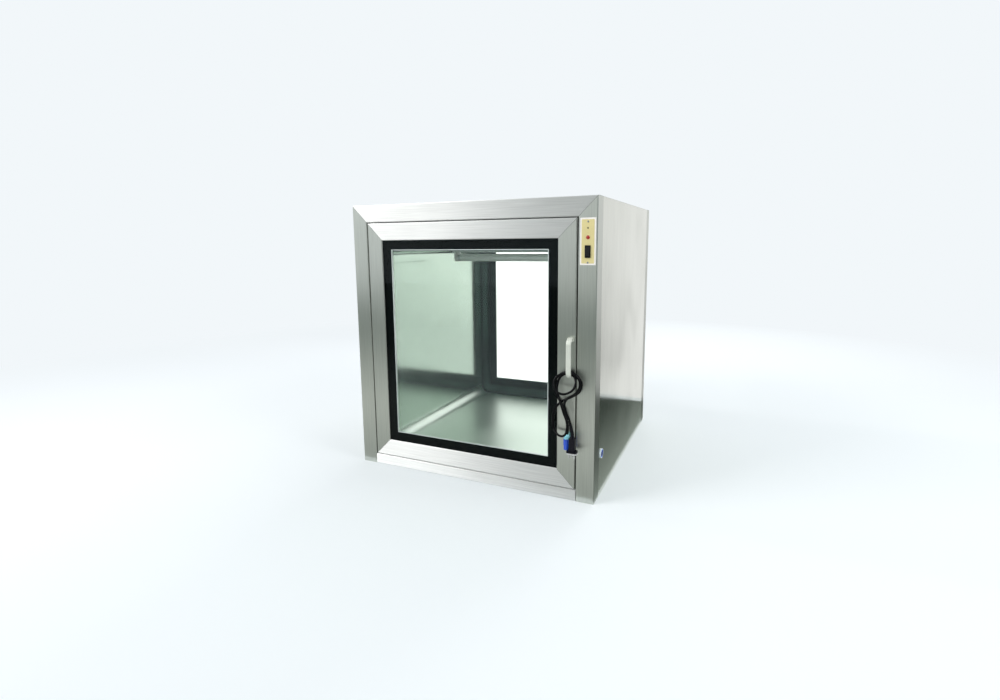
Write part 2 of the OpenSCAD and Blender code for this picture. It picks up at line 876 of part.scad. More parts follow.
module door_handle() {
    color("antiquewhite") translate([handle_x, front_y, handle_z]) intersection() {
        union() {
            half_handle();
            mirror([0, 0, 1]) half_handle();
        }
        translate([-handle_w, -2 * handle_out, -handle_h]) cube([2 * handle_w, 2 * handle_out, 2 * handle_h]);
    }
}

// ---- Mains lead ----

// Route of the lead from the connector to the plug: X, distance off the door, Z
lead_points = [
    [303, 11, 190], [305.1, 9.5, 213], [299.3, 7, 241.6], [287.9, 4.8, 265.3],
    [273.7, 4.2, 287.6], [266.2, 4, 311.5], [271.4, 4.2, 333.8], [285, 4.2, 347.8],
    [300.9, 3.8, 353.7], [319.9, 6.3, 352.2], [335.7, 6.8, 338.9], [340.7, 7.1, 320.8],
    [333.6, 8.6, 303.2], [313.8, 10.6, 289.2], [290.7, 11.4, 276.9], [274.3, 11.6, 259.2],
    [265.7, 11.3, 234.3], [266.1, 11.6, 204.3], [280.3, 20.2, 188.1], [298.5, 31.2, 188.7],
    [310.8, 38.3, 204], [311.1, 36.8, 228.6], [300.7, 30.2, 249.8], [290.3, 22.3, 270.6],
    [282, 17.3, 289.4], [276.6, 13.8, 310.8], [283.1, 9.4, 338.6], [302, 10.5, 351.6],
    [320.4, 16.5, 348.9], [330.3, 25.5, 334.6], [325.4, 34.8, 315.9], [306.8, 40.6, 304.7],
    [288.4, 40.8, 306.7], [276.1, 36.4, 317.9], [273.6, 29.8, 332.3], [280.5, 23.5, 344.9],
    [295.1, 19.7, 352.9], [306.3, 19.4, 355.4], [325.1, 21.6, 352.3], [337.6, 21.9, 339.9],
    [339.6, 21.7, 322], [328.9, 23.5, 303.5], [309.1, 28.4, 289.4], [302.5, 30.6, 273.1],
    [306.7, 30.6, 254.4], [315.3, 29.5, 234.3], [319.1, 25.9, 213.5], [322, 24.5, 194],
];

lead_sides = 8;
lead_steps = 2;                             // rings for each stretch of the route

function on_door(p) = [p[0] + lead_shift, front_y - p[1], p[2]];
lead_route = concat(
    [on_door(lead_points[0] + [0, 0, -20])],
    [for (p = lead_points) on_door(p)],
    [on_door(lead_points[len(lead_points) - 1] + [0, 0, -20])]
);

// Smooth curve through the route: position and heading at stretch i, share t
function curve_at(i, t) = let (
    a = lead_route[i], b = lead_route[i + 1], c = lead_route[i + 2], d = lead_route[i + 3]
) 0.5 * (2 * b + (c - a) * t + (2 * a - 5 * b + 4 * c - d) * t * t
    + (3 * b - a - 3 * c + d) * t * t * t);
function heading_at(i, t) = let (
    a = lead_route[i], b = lead_route[i + 1], c = lead_route[i + 2], d = lead_route[i + 3],
    v = (c - a) + 2 * (2 * a - 5 * b + 4 * c - d) * t + 3 * (3 * b - a - 3 * c + d) * t * t
) v / norm(v);

stretches = len(lead_points) - 1;
lead_places = concat(
    [for (i = [0 : stretches - 1], s = [0 : lead_steps - 1]) curve_at(i, s / lead_steps)],
    [curve_at(stretches - 1, 1)]
);
lead_headings = concat(
    [[0, 0, 1]],
    [for (i = [0 : stretches - 1], s = [0 : lead_steps - 1]) if (i + s > 0) heading_at(i, s / lead_steps)],
    [[0, 0, -1]]
);

// Each ring's first direction is the last ring's, turned no more than the heading turns
function carried(n, h) = let (v = n - (n * h) * h) v / norm(v);
lead_normals = [
    for (i = 0, n = [1, 0, 0]; i < len(lead_places);
         i = i + 1, n = i < len(lead_places) ? carried(n, lead_headings[i]) : n) n
];

module mains_lead() {
    n = lead_sides;
    rings = len(lead_places);
    points = [
        for (i = [0 : rings - 1], k = [0 : n - 1])
            let (u = lead_normals[i], v = cross(lead_headings[i], u))
                lead_places[i] + lead_d / 2 * (cos(360 * k / n) * u + sin(360 * k / n) * v)
    ];
    color("black") polyhedron(
        points = points,
        faces = concat(
            [[for (k = [0 : n - 1]) k]],
            [for (i = [0 : rings - 2], k = [0 : n - 1]) let (a = i * n, b = a + n, m = (k + 1) % n)
                [a + k, b + k, b + m, a + m]],
            [[for (k = [0 : n - 1]) rings * n - 1 - k]]
        )
    );
}

// Moulded plug, hanging with its blades down
plug_z0 = 142;
flange_size = [28, 20, 8];
blade = [1.6, 6.3, 12];
module mains_plug() {
    color("black") translate([plug_x, front_y - plug_off, 0]) {
        translate([0, 0, plug_z0]) linear_extrude(flange_size[2])
            rounded_rect(flange_size[0], flange_size[1], 5);
        translate([0, 0, plug_z0 + flange_size[2]]) linear_extrude(plug_z1 - plug_z0 - flange_size[2] - 10)
            rounded_rect(plug_w, plug_w - 2, 4);
        translate([0, 0, plug_z1 - 10]) cylinder(r1 = plug_w / 2 - 1, r2 = lead_d / 2 + 1.2, h = 10);
        for (x = [-1, 0, 1]) {
            translate([7 * x - blade[0] / 2, (x == 0 ? 3 : -3) - blade[1] / 2, plug_z0 - blade[2]]) cube(blade);
        }
    }
}

// Blue locking connector that fits the inlet, and its gland nut
collar_len = 14;
module lead_connector() {
    r = connector_r;
    color("royalblue") translate([lead_x, front_y - lead_off, 0]) difference() {
        union() {
            translate([0, 0, connector_z1 - connector_len]) cylinder(r = socket_r - 0.3, h = 12);
            translate([0, 0, connector_z1 - connector_len + 12]) cylinder(r = r, h = connector_len - collar_len - 12);
        }
        translate([0, 0, connector_z1 - connector_len - eps]) cylinder(r = socket_r - 3, h = 9 + eps);
        for (a = [0 : 45 : 315]) {
            rotate([0, 0, a]) translate([r + 0.6, 0, connector_z1 - connector_len + 16])
                cylinder(r = 1.2, h = connector_len);
        }
    }
}

module lead_connector_collar() {
    r = connector_r - 0.5;
    color("paleturquoise") translate([lead_x, front_y - lead_off, connector_z1 - collar_len]) {
        difference() {
            cylinder(r = r, h = 8);
            for (a = [0 : 30 : 330]) {
                rotate([0, 0, a]) translate([r + 0.4, 0, 1]) cylinder(r = 0.9, h = 6);
            }
        }
        translate([0, 0, 8]) cylinder(r1 = r - 0.6, r2 = lead_d / 2 + 1, h = collar_len - 8);
    }
}

// ---- Which piece is drawn ----

frame_top();  // front_frame_top
frame_left();  // front_frame_left
front_frame_right();
frame_bottom();  // front_frame_bottom
turned() frame_top();  // rear_frame_top
turned() { frame_left(); plain_frame_right(); }  // rear_frame_stiles
turned() frame_bottom();  // rear_frame_bottom
landing_plate();  // front_landing_plate
turned() landing_plate();  // rear_landing_plate
chamber_liner();
side_panel_left();
side_panel_right();
top_cover();
cover_screws();
base_panel();
floor_bearers();
base_inserts();
equipment_tray();
power_supply();
interlock_controller();
lamp_channel();
lamp_holders();
lamp_tube();
lamp_caps();
lock_magnets();
control_plate_border();
control_plate();
plate_screws();
red_indicator();
small_indicator();
rocker_housing();
rocker_button();
power_inlet();
hinge_pins();
door_stiles();  // front_door_stiles
door_rails();  // front_door_rails
door_back_pan();  // front_door_back_pan
pane(glass_setback);  // front_door_outer_pane
pane(inner_pane);  // front_door_inner_pane
door_border();  // front_door_border
door_spacer();  // front_door_spacer
door_gasket();  // front_door_gasket
door_handle();  // front_door_handle
armature();  // front_door_armature
door_bushes();  // front_door_bushes
turned() door_stiles();  // rear_door_stiles
turned() door_rails();  // rear_door_rails
turned() door_back_pan();  // rear_door_back_pan
turned() pane(glass_setback);  // rear_door_outer_pane
turned() pane(inner_pane);  // rear_door_inner_pane
turned() door_border();  // rear_door_border
turned() door_spacer();  // rear_door_spacer
turned() door_gasket();  // rear_door_gasket
turned() door_handle();  // rear_door_handle
turned() armature();  // rear_door_armature
turned() door_bushes();  // rear_door_bushes
mains_lead();
mains_plug();
lead_connector();
lead_connector_collar();
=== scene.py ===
import math

import bpy
from mathutils import Matrix, Vector


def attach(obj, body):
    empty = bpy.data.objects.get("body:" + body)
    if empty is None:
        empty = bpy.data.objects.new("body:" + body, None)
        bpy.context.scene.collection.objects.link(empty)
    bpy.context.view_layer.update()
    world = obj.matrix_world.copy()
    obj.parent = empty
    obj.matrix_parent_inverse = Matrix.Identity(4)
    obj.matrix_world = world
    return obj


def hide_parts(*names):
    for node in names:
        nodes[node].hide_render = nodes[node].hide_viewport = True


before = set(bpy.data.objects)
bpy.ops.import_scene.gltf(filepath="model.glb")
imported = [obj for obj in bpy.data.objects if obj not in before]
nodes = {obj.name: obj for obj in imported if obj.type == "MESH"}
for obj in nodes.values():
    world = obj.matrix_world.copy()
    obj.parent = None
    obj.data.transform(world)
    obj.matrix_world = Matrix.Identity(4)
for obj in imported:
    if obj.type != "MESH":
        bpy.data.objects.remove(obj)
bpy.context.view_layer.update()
frontFace = -0.3775  # plane of the cabinet's front, in metres


def linkObject(name, data):
    obj = bpy.data.objects.new(name, data)
    bpy.context.scene.collection.objects.link(obj)
    return obj


# Camera

cameraView = {
    "place": (0.7022, -1.6774, 0.6856),
    "turn": 24.54,  # degrees to the left of the Y axis
    "tilt": -8.42,
    "roll": 0.54,
    "lens": 19.15,
    "sensor": 36,
    "shift": -0.028,
}


def makeCamera(view):
    camera = linkObject("camera", bpy.data.cameras.new("camera"))
    camera.data.sensor_width = view["sensor"]
    camera.data.lens = view["lens"]
    camera.data.shift_y = view["shift"]
    place = Matrix.Translation(view["place"])
    for degrees, axis in [(view["turn"], "Z"), (view["tilt"], "X"), (view["roll"], "Y"), (90, "X")]:
        place = place @ Matrix.Rotation(math.radians(degrees), 4, axis)
    camera.matrix_world = place
    bpy.context.scene.camera = camera


makeCamera(cameraView)
print("camera set")

# Mains lead

mainsLead = {
    "thickness": 0.006,
    "length": 1.023,
    "steps": 8,  # points made for each stretch of the route
    "straight": 0.02,  # the lead leaves both its ends straight upwards, over about this length
    "roundness": 4,
    "route": [  # X, distance off the door's face, Z, in metres
        (0.3030, 0.0110, 0.1900), (0.3051, 0.0095, 0.2130), (0.2993, 0.0070, 0.2416),
        (0.2879, 0.0048, 0.2653), (0.2737, 0.0042, 0.2876), (0.2662, 0.0040, 0.3115),
        (0.2714, 0.0042, 0.3338), (0.2850, 0.0042, 0.3478), (0.3009, 0.0038, 0.3537),
        (0.3199, 0.0063, 0.3522), (0.3357, 0.0068, 0.3389), (0.3407, 0.0071, 0.3208),
        (0.3336, 0.0086, 0.3032), (0.3138, 0.0106, 0.2892), (0.2907, 0.0114, 0.2769),
        (0.2743, 0.0116, 0.2592), (0.2657, 0.0113, 0.2343), (0.2661, 0.0116, 0.2043),
        (0.2803, 0.0202, 0.1881), (0.2985, 0.0312, 0.1887), (0.3108, 0.0383, 0.2040),
        (0.3111, 0.0368, 0.2286), (0.3007, 0.0302, 0.2498), (0.2903, 0.0223, 0.2706),
        (0.2820, 0.0173, 0.2894), (0.2766, 0.0138, 0.3108), (0.2831, 0.0094, 0.3386),
        (0.3020, 0.0105, 0.3516), (0.3204, 0.0165, 0.3489), (0.3303, 0.0255, 0.3346),
        (0.3254, 0.0348, 0.3159), (0.3068, 0.0406, 0.3047), (0.2884, 0.0408, 0.3067),
        (0.2761, 0.0364, 0.3179), (0.2736, 0.0298, 0.3323), (0.2805, 0.0235, 0.3449),
        (0.2951, 0.0197, 0.3529), (0.3063, 0.0194, 0.3554), (0.3251, 0.0216, 0.3523),
        (0.3376, 0.0219, 0.3399), (0.3396, 0.0217, 0.3220), (0.3289, 0.0235, 0.3035),
        (0.3091, 0.0284, 0.2894), (0.3025, 0.0306, 0.2731), (0.3067, 0.0306, 0.2544),
        (0.3153, 0.0295, 0.2343), (0.3191, 0.0259, 0.2135), (0.3220, 0.0245, 0.1940),
    ],
}


# An even curve through all the points, each stretch bent by the points before and after it
def smoothRoute(points, steps, straight):
    ends = [(x, y, z - straight) for x, y, z in (points[0], points[-1])]
    route = [ends[0]] + points + [ends[1]]
    places = []
    for i in range(len(points) - 1):
        a, b, c, d = route[i:i + 4]
        for step in range(steps):
            t = step / steps
            places.append(tuple(
                0.5 * (2 * b[k] + (c[k] - a[k]) * t
                       + (2 * a[k] - 5 * b[k] + 4 * c[k] - d[k]) * t * t
                       + (3 * b[k] - a[k] - 3 * c[k] + d[k]) * t ** 3)
                for k in range(3)
            ))
    return places + [points[-1]]


def polyCurve(name, places):
    curve = bpy.data.curves.new(name, "CURVE")
    curve.dimensions = "3D"
    spline = curve.splines.new("POLY")
    spline.points.add(len(places) - 1)
    for point, place in zip(spline.points, places):
        point.co = (*place, 1)
    return curve


leadRoute = [(x, frontFace - off, z) for x, off, z in mainsLead["route"]]
leadPlaces = smoothRoute(leadRoute, mainsLead["steps"], mainsLead["straight"])
leadCurve = polyCurve("mainsLeadCord", leadPlaces)
for point in leadCurve.splines[0].points:
    point.radius = mainsLead["thickness"] / 2
leadCurve.bevel_depth = 1.0  # times each point's radius, which the curve's own box also counts
leadCurve.bevel_resolution = mainsLead["roundness"]
leadCurve.use_fill_caps = True
lead = linkObject("mainsLeadCord", leadCurve)
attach(lead, "front_door")
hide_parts("mains_lead")
print("mains lead laid over the handle")

# Shader helpers


# Each input gets a link where its value is another node's output, and a plain value otherwise
def addNode(tree, kind, inputs=None, **settings):
    node = tree.nodes.new(kind)
    for key, value in settings.items():
        setattr(node, key, value)
    for key, value in (inputs or {}).items():
        if isinstance(value, bpy.types.NodeSocket):
            tree.links.new(value, node.inputs[key])
        else:
            node.inputs[key].default_value = value
    return node


def mathNode(tree, operation, first, second=0.0):
    return addNode(tree, "ShaderNodeMath", {0: first, 1: second}, operation=operation).outputs[0]


# base + value * share
def addShare(tree, base, value, share):
    return mathNode(tree, "ADD", base, mathNode(tree, "MULTIPLY", value, share))


def mixColour(tree, share, first, second):
    # inputs 6 and 7 and output 2 are the colour sockets
    node = addNode(tree, "ShaderNodeMix", {"Factor": share, 6: first, 7: second}, data_type="RGBA")
    return node.outputs[2]


def opaque(colour, shade=1.0):
    return (*[part * shade for part in colour], 1)


def rangeNode(tree, value, fromMin, fromMax, toMin, toMax):
    return addNode(tree, "ShaderNodeMapRange", {
        "Value": value, "From Min": fromMin, "From Max": fromMax, "To Min": toMin, "To Max": toMax,
    }).outputs[0]


# Noise stays mostly between 0.3 and 0.7, which is spread from the low value to the high one
def spreadNoise(tree, noise, low, high):
    return rangeNode(tree, noise, 0.3, 0.7, low, high)


def nodeTree(name, kind, sockets):
    tree = bpy.data.node_groups.new(name, kind)
    for socketName, way, kind, value in sockets:
        socket = tree.interface.new_socket(socketName, in_out=way, socket_type="NodeSocket" + kind)
        if value is not None:
            socket.default_value = value
    return tree, addNode(tree, "NodeGroupInput").outputs, addNode(tree, "NodeGroupOutput").inputs


def placeGroup(tree, group, inputs):
    return addNode(tree, "ShaderNodeGroup", inputs, node_tree=group).outputs


def noiseNode(tree, place, scale, detail):
    values = {"Vector": place, "Scale": scale, "Detail": detail}
    return addNode(tree, "ShaderNodeTexNoise", values).outputs["Fac"]


def vectorNode(tree, operation, first, second=None):
    inputs = {0: first} if second is None else {0: first, 1: second}
    node = addNode(tree, "ShaderNodeVectorMath", inputs, operation=operation)
    return node.outputs["Value" if operation in ("LENGTH", "DOT_PRODUCT") else "Vector"]


def axisParts(tree, place):
    return addNode(tree, "ShaderNodeSeparateXYZ", {0: place}).outputs


# Fine scratches that run one way, with slow changes of shade under them
def makeBrushGrain():
    tree, given, out = nodeTree("brushGrain", "ShaderNodeTree", [
        ("Place", "INPUT", "Vector", None),
        ("Stretch", "INPUT", "Vector", None),
        ("Cloud Size", "INPUT", "Float", 2.5),
        ("Scratches", "OUTPUT", "Float", None),
        ("Clouds", "OUTPUT", "Float", None),
    ])
    stretched = vectorNode(tree, "MULTIPLY", given["Place"], given["Stretch"])
    tree.links.new(noiseNode(tree, stretched, 1.0, 3.0), out["Scratches"])
    tree.links.new(noiseNode(tree, given["Place"], given["Cloud Size"], 2.0), out["Clouds"])
    return tree


# Hairline where two members meet at 45 degrees, 1 on the line
def makeMitreLine():
    tree, given, out = nodeTree("mitreLine", "ShaderNodeTree", [
        ("Place", "INPUT", "Vector", None),
        ("Corner X", "INPUT", "Float", 0.3),
        ("Corner Top", "INPUT", "Float", 0.7),
        ("Corner Bottom", "INPUT", "Float", -1.0),
        ("Width", "INPUT", "Float", 0.001),
        ("Line", "OUTPUT", "Float", None),
    ])
    x, _, z = axisParts(tree, given["Place"])
    fromSide = mathNode(tree, "SUBTRACT", given["Corner X"], mathNode(tree, "ABSOLUTE", x))
    fromTop = mathNode(tree, "SUBTRACT", given["Corner Top"], z)
    fromBottom = mathNode(tree, "SUBTRACT", z, given["Corner Bottom"])
    nearest = mathNode(tree, "MINIMUM", fromTop, fromBottom)
    off = mathNode(tree, "ABSOLUTE", mathNode(tree, "SUBTRACT", fromSide, nearest))
    share = mathNode(tree, "SUBTRACT", 1.0, mathNode(tree, "DIVIDE", off, given["Width"]))
    tree.links.new(mathNode(tree, "MAXIMUM", share, 0.0), out["Line"])
    return tree


# Small specks and wiped patches, 0 where the surface is clean
def makeWear():
    tree, given, out = nodeTree("wear", "ShaderNodeTree", [
        ("Place", "INPUT", "Vector", None),
        ("Size", "INPUT", "Float", 8.0),
        ("Amount", "INPUT", "Float", 0.5),
        ("Mask", "OUTPUT", "Float", None),
    ])
    patches = noiseNode(tree, given["Place"], given["Size"], 2.0)
    raised = rangeNode(tree, patches, 0.45, 0.8, 0.0, 1.0)  # below 0.45 the surface stays clean
    tree.links.new(mathNode(tree, "MULTIPLY", raised, given["Amount"]), out["Mask"])
    return tree


brushGrain = makeBrushGrain()
mitreLine = makeMitreLine()
wear = makeWear()


def startMaterial(name):
    material = bpy.data.materials.new(name)
    material.use_nodes = True
    tree = material.node_tree
    tree.nodes.clear()
    place = addNode(tree, "ShaderNodeTexCoord").outputs["Object"]
    return material, tree, place


def endMaterial(tree, shader):
    addNode(tree, "ShaderNodeOutputMaterial", {"Surface": shader.outputs[0]})


# Roughness that changes from cloud to cloud and is higher where the surface was wiped
def unevenRough(tree, place, clouds, detail, rough):
    cloudy = mathNode(tree, "ADD", spreadNoise(tree, clouds, *detail["cloudRough"]), rough)
    smears = placeGroup(tree, wear, {
        "Place": place, "Size": detail["smearSize"], "Amount": detail["smearAmount"],
    })
    return addShare(tree, cloudy, smears["Mask"], detail["smearRough"])


def bumpNormal(tree, height, distance):
    values = {"Height": height, "Distance": distance, "Strength": 1.0}
    return addNode(tree, "ShaderNodeBump", values).outputs["Normal"]


# Steel

# scratches: how many to a metre along X, Y and Z
# across: the way in which reflections are drawn out
steelFinishes = {
    "stileSteel": {
        "colour": (0.66, 0.685, 0.635), "rough": 0.32, "drawn": 0.85,
        "scratches": (900, 900, 9), "across": (0.7, 0.7, 0),
    },
    # the rails' colour is raised well above the other steels': painted light on the rails, the same
    # steel as the stiles
    "railSteel": {
        "colour": (0.92, 0.93, 0.915), "rough": 0.58, "drawn": 0.95,
        "scratches": (9, 900, 900), "across": (0, 0.7, 0.7),
    },
    "sideSteel": {
        "colour": (0.70, 0.725, 0.66), "rough": 0.14, "drawn": 0.85,
        "scratches": (700, 700, 8), "across": (0.7, 0.7, 0),
    },
    "coverSteel": {
        "colour": (0.70, 0.715, 0.68), "rough": 0.3, "drawn": 0.85,
        "scratches": (9, 900, 900), "across": (0.1, 0.9, 0),
    },
    # this steel and the next are painted near black: painted shade on the door pans, the base panel
    # and the landing plates
    "panSteelPaintedShade": {
        "colour": (0.06, 0.09, 0.083), "rough": 0.2, "drawn": 0.85,
        "scratches": (500, 500, 12), "across": (0.7, 0.7, 0),
    },
    "plateSteelPaintedShade": {
        "colour": (0.06, 0.095, 0.085), "rough": 0.25, "drawn": 0.85,
        "scratches": (500, 500, 12), "across": (0.7, 0.7, 0),
    },
}
steelDetail = {
    "scratchShade": 0.86,  # the scratches' colour as a share of the steel's
    "scratchDepth": 0.00002,
    "cloudRough": (-0.02, 0.03),  # added to the roughness from cloud to cloud
    "smearSize": 5.0, "smearAmount": 0.35, "smearRough": 0.12,
    "mitreWidth": 0.0009, "mitreColour": (0.05, 0.055, 0.05), "mitreShare": 0.8, "mitreRough": 0.3,
}
doorCorner = {"Corner X": 0.322, "Corner Top": 0.747, "Corner Bottom": 0.033}
frameCorner = {"Corner X": 0.375, "Corner Top": 0.8, "Corner Bottom": -1.0}


def steelMaterial(name, finish, detail, corner=None):
    material, tree, place = startMaterial(name)
    grain = placeGroup(tree, brushGrain, {"Place": place, "Stretch": finish["scratches"]})
    between = spreadNoise(tree, grain["Scratches"], 0.0, 1.0)
    dark = opaque(finish["colour"], detail["scratchShade"])
    colour = mixColour(tree, between, dark, opaque(finish["colour"]))
    rough = unevenRough(tree, place, grain["Clouds"], detail, finish["rough"])
    if corner:
        sizes = {"Place": place, "Width": detail["mitreWidth"], **corner}
        line = placeGroup(tree, mitreLine, sizes)["Line"]
        share = mathNode(tree, "MULTIPLY", line, detail["mitreShare"])
        colour = mixColour(tree, share, colour, opaque(detail["mitreColour"]))
        rough = addShare(tree, rough, line, detail["mitreRough"])
    along = addNode(
        tree, "ShaderNodeVectorTransform", {"Vector": finish["across"]},
        vector_type="VECTOR", convert_from="OBJECT", convert_to="WORLD",
    )
    shader = addNode(tree, "ShaderNodeBsdfPrincipled", {
        "Base Color": colour, "Roughness": rough, "Metallic": 1.0, "Anisotropic": finish["drawn"],
        "Tangent": along.outputs[0],
        "Normal": bumpNormal(tree, grain["Scratches"], detail["scratchDepth"]),
    })
    endMaterial(tree, shader)
    return material


# Polished chamber

chamberFinish = {
    "colour": (0.48, 0.585, 0.50), "rough": 0.14, "metal": 0.9,
    "scratches": (500, 14, 14), "scratchShare": 0.1,
    "cloudRough": (-0.03, 0.04),  # added to the roughness from cloud to cloud
    "smearSize": 4.0, "smearAmount": 0.5, "smearRough": 0.1,
    "waves": 1.5, "waveDepth": 0.001,
    # the floor's colour is paler than the walls' though it is the same steel: painted light on the
    # floor
    "floorColour": (0.71, 0.785, 0.725),
    "floorRough": 0.2,  # added, as the floor is brushed more than the walls
    "floorTop": (0.075, 0.095),  # heights between which the floor's paler colour and rougher brushing give way to the walls'
    "fade": (0.62, 0.38),  # painted shade: the walls darken a little from one height down to the other
    "paintedShadeLean": 0.32,  # and more towards the front
    "paintedShadeShare": 0.32,
    "paintedShadeColour": (0.05, 0.09, 0.07),
}


def chamberMaterial(finish):
    material, tree, place = startMaterial("chamberSteel")
    grain = placeGroup(tree, brushGrain, {"Place": place, "Stretch": finish["scratches"]})
    height = axisParts(tree, place)[2]
    onWall = rangeNode(tree, height, *finish["floorTop"], 0.0, 1.0)
    base = mixColour(tree, onWall, opaque(finish["floorColour"]), opaque(finish["colour"]))
    scratched = mathNode(tree, "MULTIPLY", grain["Scratches"], finish["scratchShare"])
    colour = mixColour(tree, scratched, base, opaque((0, 0, 0)))
    rough = unevenRough(tree, place, grain["Clouds"], finish, finish["rough"])
    brushed = rangeNode(tree, height, *finish["floorTop"], finish["floorRough"], 0.0)
    rough = mathNode(tree, "ADD", rough, brushed)
    # painted shade on the walls, darker towards the bottom and more so towards the front
    leaned = vectorNode(tree, "DOT_PRODUCT", place, (0, finish["paintedShadeLean"], 1))
    paintedShade = rangeNode(tree, leaned, *finish["fade"], 0.0, finish["paintedShadeShare"])
    paintedShade = mathNode(tree, "MULTIPLY", paintedShade, onWall)
    colour = mixColour(tree, paintedShade, colour, opaque(finish["paintedShadeColour"]))
    waves = noiseNode(tree, place, finish["waves"], 1.0)
    shader = addNode(tree, "ShaderNodeBsdfPrincipled", {
        "Base Color": colour, "Roughness": rough, "Metallic": finish["metal"],
        "Normal": bumpNormal(tree, waves, finish["waveDepth"]),
    })
    endMaterial(tree, shader)
    return material


# Glass

glassFinish = {
    "tint": (0.975, 0.99, 0.98), "bend": 1.48, "shine": (0.25, 0.3, 0.3),
    "shadowTint": (0.90, 0.94, 0.91),  # what the pane lets through of the lamps' light
    "hazeSize": 3.0, "hazeShare": 0.05, "hazeColour": (0.9, 0.93, 0.91),
}


def glassMaterial(finish):
    material, tree, place = startMaterial("doorGlass")
    haze = placeGroup(tree, wear, {"Place": place, "Size": finish["hazeSize"], "Amount": 1.0})
    share = mathNode(tree, "MULTIPLY", haze["Mask"], finish["hazeShare"])
    colour = mixColour(tree, share, opaque(finish["tint"]), opaque(finish["hazeColour"]))
    shader = addNode(tree, "ShaderNodeBsdfPrincipled", {
        "Base Color": colour, "Roughness": 0.0, "Metallic": 0.0,
        "IOR": finish["bend"], "Specular Tint": opaque(finish["shine"]), "Transmission Weight": 1.0,
    })
    clear = addNode(tree, "ShaderNodeBsdfTransparent", {"Color": opaque(finish["shadowTint"])})
    rays = addNode(tree, "ShaderNodeLightPath")
    endMaterial(tree, addNode(tree, "ShaderNodeMixShader", {
        0: rays.outputs["Is Shadow Ray"], 1: shader.outputs[0], 2: clear.outputs[0],
    }))
    return material


# Everything else: plain stuff with its own grain

# a value left out is taken from plainStuff
plainStuff = {"metal": 0.0, "coat": 0.0, "shine": 0.5, "wear": 0.6, "bump": 0.00003}
stuffDetail = {
    "rubSize": 30.0, "rubShare": 0.5, "rubRough": 0.15,
    "rubLight": 1.08, "rubLift": 0.006,  # a rubbed patch is the colour times one, plus the other
}
stuffs = {
    "borderPrint": {
        "colour": (0.004, 0.007, 0.009), "rough": 0.3, "speckle": 0.15, "grain": 300,
        "wear": 0.0, "shine": 0.25,
    },
    "spacerMetal": {
        "colour": (0.72, 0.75, 0.74), "rough": 0.35, "speckle": 0.1, "grain": 200, "metal": 1.0,
    },
    "gasketRubber": {
        "colour": (0.16, 0.17, 0.17), "rough": 0.7, "speckle": 0.3, "grain": 500, "bump": 0.0002,
    },
    "armatureSteel": {
        "colour": (0.42, 0.44, 0.45), "rough": 0.35, "speckle": 0.2, "grain": 250, "metal": 1.0,
    },
    "zincSteel": {
        "colour": (0.60, 0.61, 0.60), "rough": 0.4, "speckle": 0.35, "grain": 60, "metal": 1.0,
    },
    "handleSteel": {
        "colour": (0.72, 0.74, 0.66), "rough": 0.45, "speckle": 0.06, "grain": 350, "metal": 0.35,
    },
    "screwSteel": {
        "colour": (0.42, 0.42, 0.41), "rough": 0.32, "speckle": 0.2, "grain": 600, "metal": 1.0,
    },
    "bushPlastic": {
        "colour": (0.50, 0.42, 0.28), "rough": 0.5, "speckle": 0.15, "grain": 400,
    },
    "supplyCase": {
        "colour": (0.55, 0.56, 0.57), "rough": 0.42, "speckle": 0.2, "grain": 120, "metal": 1.0,
    },
    "controllerCase": {
        "colour": (0.68, 0.67, 0.62), "rough": 0.55, "speckle": 0.1, "grain": 500, "bump": 0.0001,
    },
    "whiteMetal": {
        "colour": (0.84, 0.86, 0.84), "rough": 0.3, "speckle": 0.05, "grain": 300, "bump": 0.0001,
    },
    "whitePlastic": {
        "colour": (0.84, 0.84, 0.81), "rough": 0.45, "speckle": 0.06, "grain": 400,
    },
    "lampCap": {
        "colour": (0.72, 0.73, 0.73), "rough": 0.3, "speckle": 0.15, "grain": 300, "metal": 1.0,
    },
    "opalGlass": {
        "colour": (0.93, 0.95, 0.92), "rough": 0.2, "speckle": 0.03, "grain": 80, "coat": 0.6,
    },
    "whiteBorder": {
        "colour": (0.95, 0.90, 0.85), "rough": 0.35, "speckle": 0.06, "grain": 400, "coat": 0.3,
    },
    "creamPlate": {
        "colour": (0.76, 0.65, 0.30), "rough": 0.45, "speckle": 0.14, "grain": 350,
    },
    "redLens": {
        "colour": (0.42, 0.012, 0.006), "rough": 0.12, "speckle": 0.2, "grain": 500, "coat": 1.0,
    },
    "oliveLens": {
        "colour": (0.10, 0.10, 0.03), "rough": 0.2, "speckle": 0.2, "grain": 500, "coat": 0.6,
    },
    "switchPlastic": {
        "colour": (0.006, 0.006, 0.007), "rough": 0.16, "speckle": 0.2, "grain": 600, "shine": 0.25,
    },
    "bluePlastic": {
        "colour": (0.012, 0.09, 0.70), "rough": 0.3, "speckle": 0.2, "grain": 400, "coat": 0.4,
    },
    "collarPlastic": {
        "colour": (0.36, 0.86, 0.98), "rough": 0.3, "speckle": 0.1, "grain": 400, "coat": 0.4,
    },
    "cordRubber": {
        "colour": (0.002, 0.002, 0.003), "rough": 0.14, "speckle": 0.25, "grain": 700,
        "shine": 0.12, "wear": 0.2,
    },
    "plugRubber": {
        "colour": (0.004, 0.004, 0.009), "rough": 0.2, "speckle": 0.25, "grain": 500,
        "shine": 0.2, "wear": 0.2,
    },
    "contactBrass": {
        "colour": (0.75, 0.58, 0.28), "rough": 0.3, "speckle": 0.2, "grain": 500, "metal": 1.0,
    },
}
stuffs = {name: {**plainStuff, **stuff} for name, stuff in stuffs.items()}


